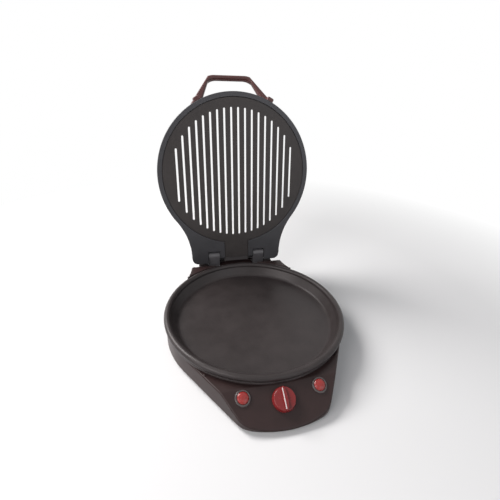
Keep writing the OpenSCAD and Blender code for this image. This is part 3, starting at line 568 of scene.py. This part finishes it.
def build_rear(bm, low):
    """The block under the hinge, two wedges up to the rim, and the ledge round the hinge arms."""
    side = [(88, REAR_Y), (100, 169), (104.5, 164), (105.5, 158), (109.5, 143), (115.5, 127.5), (124, 113),
            (133, 100)]
    curve = rounded(side, [0, 4, 5, 30, 40, 40, 30, 0], 6, closed=False)
    inner = arc(0, 0, BODY_R - 0.4, 37, 143, 2.0)
    prism(bm, curve + inner + mirror(curve), low, SEAT_Z, 0.8, 0.8, seg=3)
    clear_r, deck_x, wedge_top = RIM_R + 0.7, 48.0, 55.0
    for s in SIDES:
        wedge = [(DECK_Y + 2.7 - 66, DECK_Y)]
        wedge += [p for p in curve if p[1] < DECK_Y and math.hypot(*p) > clear_r + 0.3]
        a0 = math.degrees(math.atan2(wedge[-1][1], wedge[-1][0]))
        a1 = math.degrees(math.acos(deck_x / clear_r))
        wedge += arc(0, 0, clear_r, a0, a1, 2.0) + [(deck_x, DECK_Y)]
        prism(bm, [(s * x, y) for x, y in wedge], DECK_Z - 10, wedge_top, 0, 1.8, seg=5)
    x0, x1 = ARM_X - ARM_W / 2 - 0.6, ARM_X + ARM_W / 2 + 0.6
    half = [(x0, LEDGE_Y), (x0, REAR_Y), (x1, REAR_Y), (x1, LEDGE_Y), (LEDGE_HALF, LEDGE_Y),
            (LEDGE_HALF, REAR_Y), (88, REAR_Y), (100, 169), (104, 162)]
    half = rounded(half, [1.5, 0.5, 0.5, 1.5, 1.5, 1.0, 6, 3, 0], 4, closed=False)
    half = [(x0 - 1.5, LEDGE_Y)] + half[1:] if half[0] == (x0, LEDGE_Y) else half
    front = arc(0, 0, clear_r, 57, 123, 2.0)
    prism(bm, half + front + mirror(half), SEAT_Z - 4, DECK_Z, 1.0, 1.4, seg=4)
    block = [(-x0, LEDGE_Y - 3), (x0, LEDGE_Y - 3), (x0, LEDGE_BACK_Y), (-x0, LEDGE_BACK_Y)]
    prism(bm, rounded(block, [0.5, 0.5, 2, 2], 4), SEAT_Z - 4, LEDGE_TOP, 1.0, 1.2, seg=4)


build_housing()


def build_caps():
    dome = [(2.75, -0.5), (2.75, 0.15), (2.6, 0.6), (2.1, 1.05), (1.3, 1.3), (0.6, 1.36), (0, 1.38)]
    bm = bmesh.new()
    for s in SIDES:
        lathe(bm, dome, 40, m=Matrix.Translation((s * CAP_X, -CAP_Y, SEAT_Z)))
    return finish_piece("screw_cap_pair", bm, Matrix.Identity(4), "base", HOUSING, ["screw_caps"])


build_caps()


# Pan and its seat
def build_pan():
    """A profile of radius and height: floor, inner wall, rolled rim, outer wall and underside."""
    bead_x, bead_z = RIM_R - BEAD_R, RIM_TOP - BEAD_R
    bead = [(bead_x + BEAD_R * math.cos(math.radians(a)), bead_z + BEAD_R * math.sin(math.radians(a)))
            for a in range(190, -91, -8)]
    floor_r, floor_rings = 137.0, 12
    floor = [(floor_r * i / floor_rings, FLOOR_Z) for i in range(floor_rings + 1)]
    inner = rounded([(0, FLOOR_Z), (146.6, FLOOR_Z), (157.6, 47.6)], [0, 9, 0], 8, closed=False)
    outer = [(160.8, SEAT_TOP), (160.2, 44.2), (150.5, 30.6), (147.5, PAN_BOTTOM), (0, PAN_BOTTOM)]
    bm = bmesh.new()
    lathe(bm, floor + inner[1:] + bead + outer, 240)
    return finish_piece("pan_shell", bm, Matrix.Identity(4), "base", PAN_COAT, ["cooking_pan"], 50)


build_pan()


def build_seat():
    bm = bmesh.new()
    section = [(159, SEAT_Z), (168, SEAT_Z), (168, SEAT_TOP), (159, SEAT_TOP)]
    lathe(bm, rounded(section, [0.3, 0.8, 0.8, 0.3], 4), 240, closed=True)
    return finish_piece("seat_ring", bm, Matrix.Identity(4), "base", SEAL, ["pan_seat_ring"])


build_seat()


# Knob
def build_knob():
    bm = bmesh.new()
    disc = [(KNOB_R - 1.1, 0), (KNOB_R, 0), (KNOB_R - 0.1, 3.2), (16.6, 8.6), (0, KNOB_TOP)]
    lathe(bm, rounded(disc, [0, 0.5, 1.2, 1.6, 0], 6, closed=False), 96)
    # the grip is a low ridge, lens-shaped in plan, with a soft edge: half width, half length and height
    n, fullness, flat_side = 48, 0.8, 0.86
    rings = []
    for w, l, z in ((4.5, 17.6, 4.0), (4.4, 17.4, 9.0), (4.2, 17.2, 11.4), (3.9, 16.9, 12.4),
                    (3.3, 16.3, 12.9), (2.6, 15.8, 13.0)):
        ring = []
        for i in range(n):
            a = 2 * math.pi * i / n
            x = w * math.copysign(abs(math.cos(a)) ** fullness, math.cos(a))
            ring.append((x if x > 0 else x * flat_side, l * math.sin(a)))
        rings.append(ring_of(bm, ring, z))
    for a, b in zip(rings, rings[1:]):
        bridge(bm, a, b)
    bm.faces.new(rings[-1])
    return finish_piece("knob_body", bm, KNOB, "knob", RED, ["control_knob"], 40)


build_knob()


def build_pointer():
    left, right, half, low, top = -2.6, -1.0, 14.9, 12.4, 13.1
    strip = rounded([(left, -half), (right, -half), (right, half), (left, half)], 0.7, 5)
    bm = bmesh.new()
    prism(bm, strip, low, top, 0, 0.2, seg=2)
    return finish_piece("knob_pointer_strip", bm, KNOB, "knob", PALE, ["knob_pointer"])


build_pointer()


# Lamps
def build_lamps():
    bezel = rounded([(9.2, -2), (12.5, -2), (12.5, 1.4), (11.2, 2.8), (9.4, 2.8), (8.9, 1.2)],
                    [0, 0, 0.8, 0.6, 0.5, 0.3], 5)
    # the lens is a dome with shallow waves
    foot, rise, steps, wave = 1.9, 3.4, 14, 0.22
    dome = [(LENS_R, -2), (LENS_R, foot)]
    for k in range(1, steps + 1):
        a = math.pi / 2 * k / steps
        ripple = wave * math.sin(k * math.pi / 2.4) * (0.3 + 0.7 * math.cos(a))
        dome.append((max(LENS_R * math.cos(a), 0), foot + rise * math.sin(a) + ripple))
    for s, side in zip(SIDES, ("left", "right")):
        place = on_panel(s * LAMP_X, LAMP_REACH)
        bm = bmesh.new()
        lathe(bm, bezel, 72, closed=True)
        finish_piece(side + "_bezel_ring", bm, place, "base", BEZEL, [side + "_lamp_bezel"])
        bm = bmesh.new()
        lathe(bm, dome, 64)
        finish_piece(side + "_lens_dome", bm, place, "base", LENS, [side + "_lamp_lens"], 60)


build_lamps()


# Lid
def lid_side(off=0.0):
    """The right half of the lid's outline from the round to the end of the neck, moved in by off."""
    pts = arc(FILLET_X, FILLET_Y, FILLET_R + off, 180 + FILLET_A, 180, 2.5)
    cx, cy = NECK_HALF - NECK_CORNER, NECK_END - NECK_CORNER
    pts += arc(cx, cy, NECK_CORNER - off, 0, 90, 9)
    return pts


def build_lid_frame():
    bm = bmesh.new()
    seat = PLATE_R + 0.2
    a = math.degrees(math.asin(TONGUE_X / seat))
    right = lid_side()
    notch = [(86, NECK_END), (NOTCH_OUT, NECK_END), (NOTCH_OUT, NOTCH_Y), (NOTCH_IN, NOTCH_Y),
             (NOTCH_IN, TONGUE_Y), (TONGUE_X, TONGUE_Y),
             (TONGUE_X + 0.4, math.sqrt(seat ** 2 - TONGUE_X ** 2) + 0.8), (48, 145.8)]
    notch = rounded(notch, [0, 1.5, 1.2, 1.2, 1.5, 1.5, 4.5, 0], 5, closed=False)[:-1]
    inner = arc(0, 0, seat, 90 - a - 2.4, -270 + a + 2.4, 2.0)
    pts = arc(0, 0, LID_R, 180 - FILLET_A, 360 + FILLET_A, 2.0) + right[1:-1] + notch + inner + mirror(notch)
    pts += mirror(right)[1:-1]
    prism(bm, clean(pts), 0, 14, 1.1, 0.6, seg=6)
    # inner lip behind the plate
    lip_low, lip_top = PLATE_Z + 3.3, PLATE_Z + 5.7
    lathe(bm, [(147, lip_low), (156, lip_low), (156, lip_top), (147, lip_top)], 160, closed=True)
    # knuckles that turn on the pins
    ear_w, bore_r = 10, 4.5
    m = Matrix.Translation((0, HINGE_Y, HINGE_RISE)) @ Matrix.Rotation(math.pi / 2, 4, "Y")
    for s in SIDES:
        for x in (NOTCH_IN - ear_w, NOTCH_OUT):
            p0 = x if s > 0 else -x - ear_w
            ear = [(bore_r, p0), (EAR_R, p0), (EAR_R, p0 + ear_w), (bore_r, p0 + ear_w)]
            lathe(bm, rounded(ear, [0, 0.8, 0.8, 0], 4), 48, closed=True, m=m)
    return finish_piece("lid_rim", bm, LID, "lid", LID_COAT, ["lid_frame"], 40)


build_lid_frame()


def slot_loops(width, extra=0.0, count=18, pitch=14.4, reach_r=134.0):
    """Upright slots whose ends lie on a circle, each one longer by extra at both ends."""
    loops = []
    for i in range(count):
        x = (i - (count - 1) / 2) * pitch
        h = math.sqrt(reach_r ** 2 - x ** 2) - width / 2 + extra
        loops.append(arc(x, h, width / 2, 0, 180, 20) + arc(x, -h, width / 2, 180, 360, 20))
    return loops


def build_plate():
    bm = bmesh.new()
    half, end = TONGUE_X - 0.2, TONGUE_Y - 0.2
    a = math.degrees(math.asin(half / PLATE_R))
    outline = arc(0, 0, PLATE_R, 90 + a, 450 - a, 2.0) + [(half, end), (-half, end)]
    prism(bm, outline, PLATE_Z, PLATE_Z + 3, 0.9, 0.3, holes=slot_loops(4.0), seg=4)
    return finish_piece("slotted_plate", bm, LID, "lid", NONSTICK, ["lid_grill_plate"], 40)


build_plate()


def build_cover():
    bm = bmesh.new()
    # the ring: its outer flare down to the dish, the rounded crest, the outer wall and the inner side
    crest_r, skin = 10, 2
    crest = arc(CREST_R, LID_H - crest_r, crest_r, 90, 0, 9)
    inner = arc(CREST_R, LID_H - crest_r, crest_r - skin, 0, 90, 9)
    outside = [(DISH_R + 0.7, DISH_Z + 0.2), (DISH_R + 0.7, DISH_Z + 1.6), (FLARE_R + 0.6, LID_H),
               (CREST_R, LID_H)]
    outside = rounded(outside, [0, 0.3, 3.2, 0], 6, closed=False)
    inside = [(FLARE_R + 3.7, LID_H - 2), (FLARE_R + 2.0, LID_H - 3.6), (DISH_R + 2.1, DISH_Z + 0.2)]
    wall = [(COVER_R, COVER_Z), (COVER_R - skin, COVER_Z)]
    lathe(bm, outside + crest[1:] + wall + inner + inside, 200, closed=True)
    # the dish, with slots in line with those of the plate
    disc = arc(0, 0, DISH_R + 1.4, 0, 358, 2.0)
    prism(bm, disc, DISH_Z, DISH_Z + 1.4, 0, 0.3, holes=slot_loops(9.0, 2.0), seg=2)
    # neck: the sides, the middle part between the arms and the flap below it
    end = NECK_END - 0.8
    outer = [p for p in lid_side(0.8) if p[1] > 112]
    for s in SIDES:
        pts = [(NOTCH_OUT, end), (NOTCH_OUT, 148.0), (108, 120)] + outer
        prism(bm, [(s * x, y) for x, y in pts], COVER_Z, LID_H, 0.4, 7.0, seg=7)
    middle = [(-NOTCH_IN, 150), (NOTCH_IN, 150), (NOTCH_IN, end), (-NOTCH_IN, end)]
    prism(bm, rounded(middle, [0, 0, 2, 2], 4), COVER_Z, LID_H, 0.4, 5.0, seg=6)
    half = NOTCH_OUT + 0.1
    across = rounded([(-half, 150), (half, 150), (half, NOTCH_Y), (-half, NOTCH_Y)], 0.4, 2)
    prism(bm, across, COVER_Z, LID_H - 0.4, 0.4, 2.0, seg=4)
    flap = rounded([(-28.2, 189.5), (28.2, 189.5), (28.2, 199.2), (-28.2, 199.2)], 1.0, 3)
    prism(bm, flap, 6.0, 16.0, 1.2, 0, seg=4)
    return finish_piece("cover_shell", bm, LID, "lid", COVER, ["lid_cover"], 40)


build_cover()


# Handle
def build_handle():
    place = (LID @ Matrix.Translation((0, -HANDLE_Y, HANDLE_Z)) @ Matrix.Rotation(-HANDLE_SLOPE, 4, "X")
             @ Matrix.Scale(-1, 4, (0, 1, 0)))
    # the legs' straight edges are the common tangents of the corner circles
    out_r, in_r, bar = 32, 24, 9.5
    out_y, in_y = HANDLE_REACH - out_r, HANDLE_REACH - bar - in_r
    half_out = [(91.5, 1.0)] + tangent_arc((83, 4), 9, (31.5, out_y), out_r) + [(0, HANDLE_REACH)]
    half_in = [(70.4, 1.0)] + tangent_arc((62, -10), 10, (28, in_y), in_r) + [(0, HANDLE_REACH - bar)]
    outline = half_out + [(-x, y) for x, y in half_out[-2::-1]]
    outline += [(-x, y) for x, y in half_in] + half_in[-2::-1]
    bm = bmesh.new()
    prism(bm, ccw(outline), -HANDLE_T / 2, HANDLE_T / 2, HANDLE_EDGE, HANDLE_EDGE, seg=7)
    moved(bm, place, 0)
    # the pads on the lid's edge that carry the legs
    front, back = -LID_R - PAD_OUT, -LID_R + 4
    pad = [(-PAD_HALF, front), (PAD_HALF, front), (PAD_HALF, back), (-PAD_HALF, back)]
    pad = rounded(pad, [3, 3, 0, 0], 6)
    for s in SIDES:
        start = len(bm.verts)
        prism(bm, pad, PAD_LOW, PAD_TOP, PAD_EDGE, PAD_EDGE, seg=6)
        moved(bm, LID @ Matrix.Rotation(s * PAD_A, 4, "Z"), start)
    return finish_piece("handle_loop", bm, Matrix.Identity(4), "lid", WINE, ["lid_handle"], 60)


build_handle()


# Finishes of the carried-over CAD pieces
FINISH = {}
for finish, nodes in (
        (ARM, ("left_hinge_arm", "right_hinge_arm")),
        (PLATE, ("base_plate",)),
        (RUBBER, ("rubber_feet", "cable_gland")),
        (SEAL, ("gland_nut",)),
        (STEEL, ("foot_screws", "base_plate_screws", "reflector_posts", "post_nuts", "hinge_arm_screws",
                 "grill_plate_nuts", "lid_cover_screws", "handle_screws")),
        (GROUND, ("left_hinge_pin", "right_hinge_pin", "thermostat_shaft")),
        (BRASS, ("thermostat_bushing", "thermostat_nut", "hinge_bushes")),
        (SHEATH, ("lower_heating_element", "lid_heating_element")),
        (SHEET, ("element_clamps", "heat_reflector", "lid_reflector", "lid_element_clips")),
        (CERAMIC, ("thermostat_body", "left_lamp_holder", "right_lamp_holder", "thermal_fuse",
                   "terminal_block", "lid_terminal_block")),
        (WIRE, ("supply_wires",))):
    for node in nodes:
        FINISH[node] = finish
for node, mat in FINISH.items():
    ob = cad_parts[node]
    ob.data.materials.clear()
    ob.data.materials.append(mat)

ARM_EDGE, THIN_EDGE = 1.3 * MM, 0.4 * MM
for node in ("left_hinge_arm", "right_hinge_arm", "cable_gland", "base_plate"):
    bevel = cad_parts[node].modifiers.new("worn_and_lit_edges", "BEVEL")
    bevel.width = ARM_EDGE if node.endswith("arm") else THIN_EDGE
    bevel.segments = 4
    bevel.limit_method = "ANGLE"
    bevel.angle_limit = math.radians(35)
    bevel.use_clamp_overlap = True

for name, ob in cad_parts.items():
    if not ob.hide_render and name not in FINISH:
        raise RuntimeError("no finish for " + name)


# Floor, light and camera
WHITE = (1, 1, 1, 1)
CAMERA_LIFT = 0.06
PLAIN_FROM, PLAIN_TO = 0.55, 1.0


def seen_rays(nt):
    """1 for rays from the camera and for those that metal and glass show."""
    path = nt.nodes.new("ShaderNodeLightPath")
    seen = path.outputs["Is Camera Ray"]
    for kind in ("Is Glossy Ray", "Is Transmission Ray"):
        seen = maths(nt, "MAXIMUM", seen, path.outputs[kind])
    return seen


def build_floor():
    bm = bmesh.new()
    size, n, below = 9.0, 24, -0.0004
    verts = [[bm.verts.new((size * (2 * i / n - 1), size * (2 * j / n - 1), below)) for j in range(n + 1)]
             for i in range(n + 1)]
    for i in range(n):
        for j in range(n):
            bm.faces.new((verts[i][j], verts[i + 1][j], verts[i + 1][j + 1], verts[i][j + 1]))
    me = bpy.data.meshes.new("floor")
    bm.to_mesh(me)
    bm.free()
    floor = bpy.data.objects.new("floor", me)
    bpy.context.scene.collection.objects.link(floor)
    mat = bpy.data.materials.new("floor_white")
    mat.use_nodes = True
    nt = mat.node_tree
    nt.nodes.clear()
    N, L = nt.nodes.new, nt.links.new
    out = N("ShaderNodeOutputMaterial")
    seen = seen_rays(nt)
    pale = N("ShaderNodeBsdfDiffuse")
    pale.inputs["Color"].default_value = (0.80, 0.80, 0.81, 1)
    lift = N("ShaderNodeEmission")
    lift.inputs["Color"].default_value = WHITE
    L(maths(nt, "MULTIPLY", seen, CAMERA_LIFT), lift.inputs["Strength"])
    near = N("ShaderNodeAddShader")
    L(pale.outputs[0], near.inputs[0])
    L(lift.outputs[0], near.inputs[1])
    # far from the object the floor is plain white
    distance = N("ShaderNodeVectorMath")
    distance.operation = "LENGTH"
    L(N("ShaderNodeNewGeometry").outputs["Position"], distance.inputs[0])
    far = spread(nt, distance.outputs["Value"], PLAIN_FROM, PLAIN_TO)
    white = N("ShaderNodeEmission")
    white.inputs["Strength"].default_value = 1.0
    mixer = N("ShaderNodeMixShader")
    L(maths(nt, "MULTIPLY", far, seen), mixer.inputs[0])
    L(near.outputs[0], mixer.inputs[1])
    L(white.outputs[0], mixer.inputs[2])
    L(mixer.outputs[0], out.inputs[0])
    me.materials.append(mat)


def build_world():
    world = bpy.data.worlds.new("studio")
    bpy.context.scene.world = world
    world.use_nodes = True
    nt = world.node_tree
    nt.nodes.clear()
    N, L = nt.nodes.new, nt.links.new
    out = N("ShaderNodeOutputWorld")
    soft = N("ShaderNodeBackground")
    soft.inputs["Color"].default_value = (0.95, 0.97, 1.0, 1)
    soft.inputs["Strength"].default_value = 0.18
    plain = N("ShaderNodeBackground")
    plain.inputs["Color"].default_value = WHITE
    plain.inputs["Strength"].default_value = 1.0
    mixer = N("ShaderNodeMixShader")
    L(seen_rays(nt), mixer.inputs[0])
    L(soft.outputs[0], mixer.inputs[1])
    L(plain.outputs[0], mixer.inputs[2])
    L(mixer.outputs[0], out.inputs[0])


def area_light(name, place, aim, size, watts, colour=(1, 1, 1)):
    data = bpy.data.lights.new(name, "AREA")
    data.shape = "RECTANGLE"
    data.size, data.size_y = size
    data.energy = watts
    data.color = colour
    ob = bpy.data.objects.new(name, data)
    ob.location = place
    ob.rotation_mode = "QUATERNION"
    ob.rotation_quaternion = (Vector(aim) - Vector(place)).to_track_quat("-Z", "Y")
    bpy.context.scene.collection.objects.link(ob)
    return ob


def build_camera():
    """The camera that was fitted to the photo: focal length in pixels, directions and place."""
    focal_px, picture_px, sensor = 347.615, 500, 36.0
    data = bpy.data.cameras.new("camera")
    data.sensor_width = sensor
    data.lens = focal_px / picture_px * sensor
    data.clip_start = 0.01
    data.clip_end = 100
    cam = bpy.data.objects.new("camera", data)
    right = Vector((0.972286, -0.230199, 0.040835))
    up = Vector((0.077048, 0.480402, 0.873657))
    back = right.cross(up)
    place = Matrix((right, up, back)).transposed().to_4x4()
    place.translation = Vector((-0.147187, -0.510824 - MID_Y * MM, 0.475527))
    cam.matrix_world = place
    bpy.context.scene.collection.objects.link(cam)
    bpy.context.scene.camera = cam


build_floor()
build_world()
area_light("key", (-1.4, 1.0, 1.7), (0, 0, 0.1), (1.1, 1.1), 66, (1.0, 0.98, 0.96))
area_light("front_left", (-1.7, -1.15, 1.35), (0, 0.1, 0.15), (1.3, 1.3), 23, (1.0, 0.96, 0.95))
area_light("fill", (0.9, -1.7, 1.0), (0, 0.1, 0.15), (1.4, 1.4), 5, (0.90, 0.95, 1.0))
build_camera()

scene = bpy.context.scene
scene.view_settings.view_transform = "Standard"
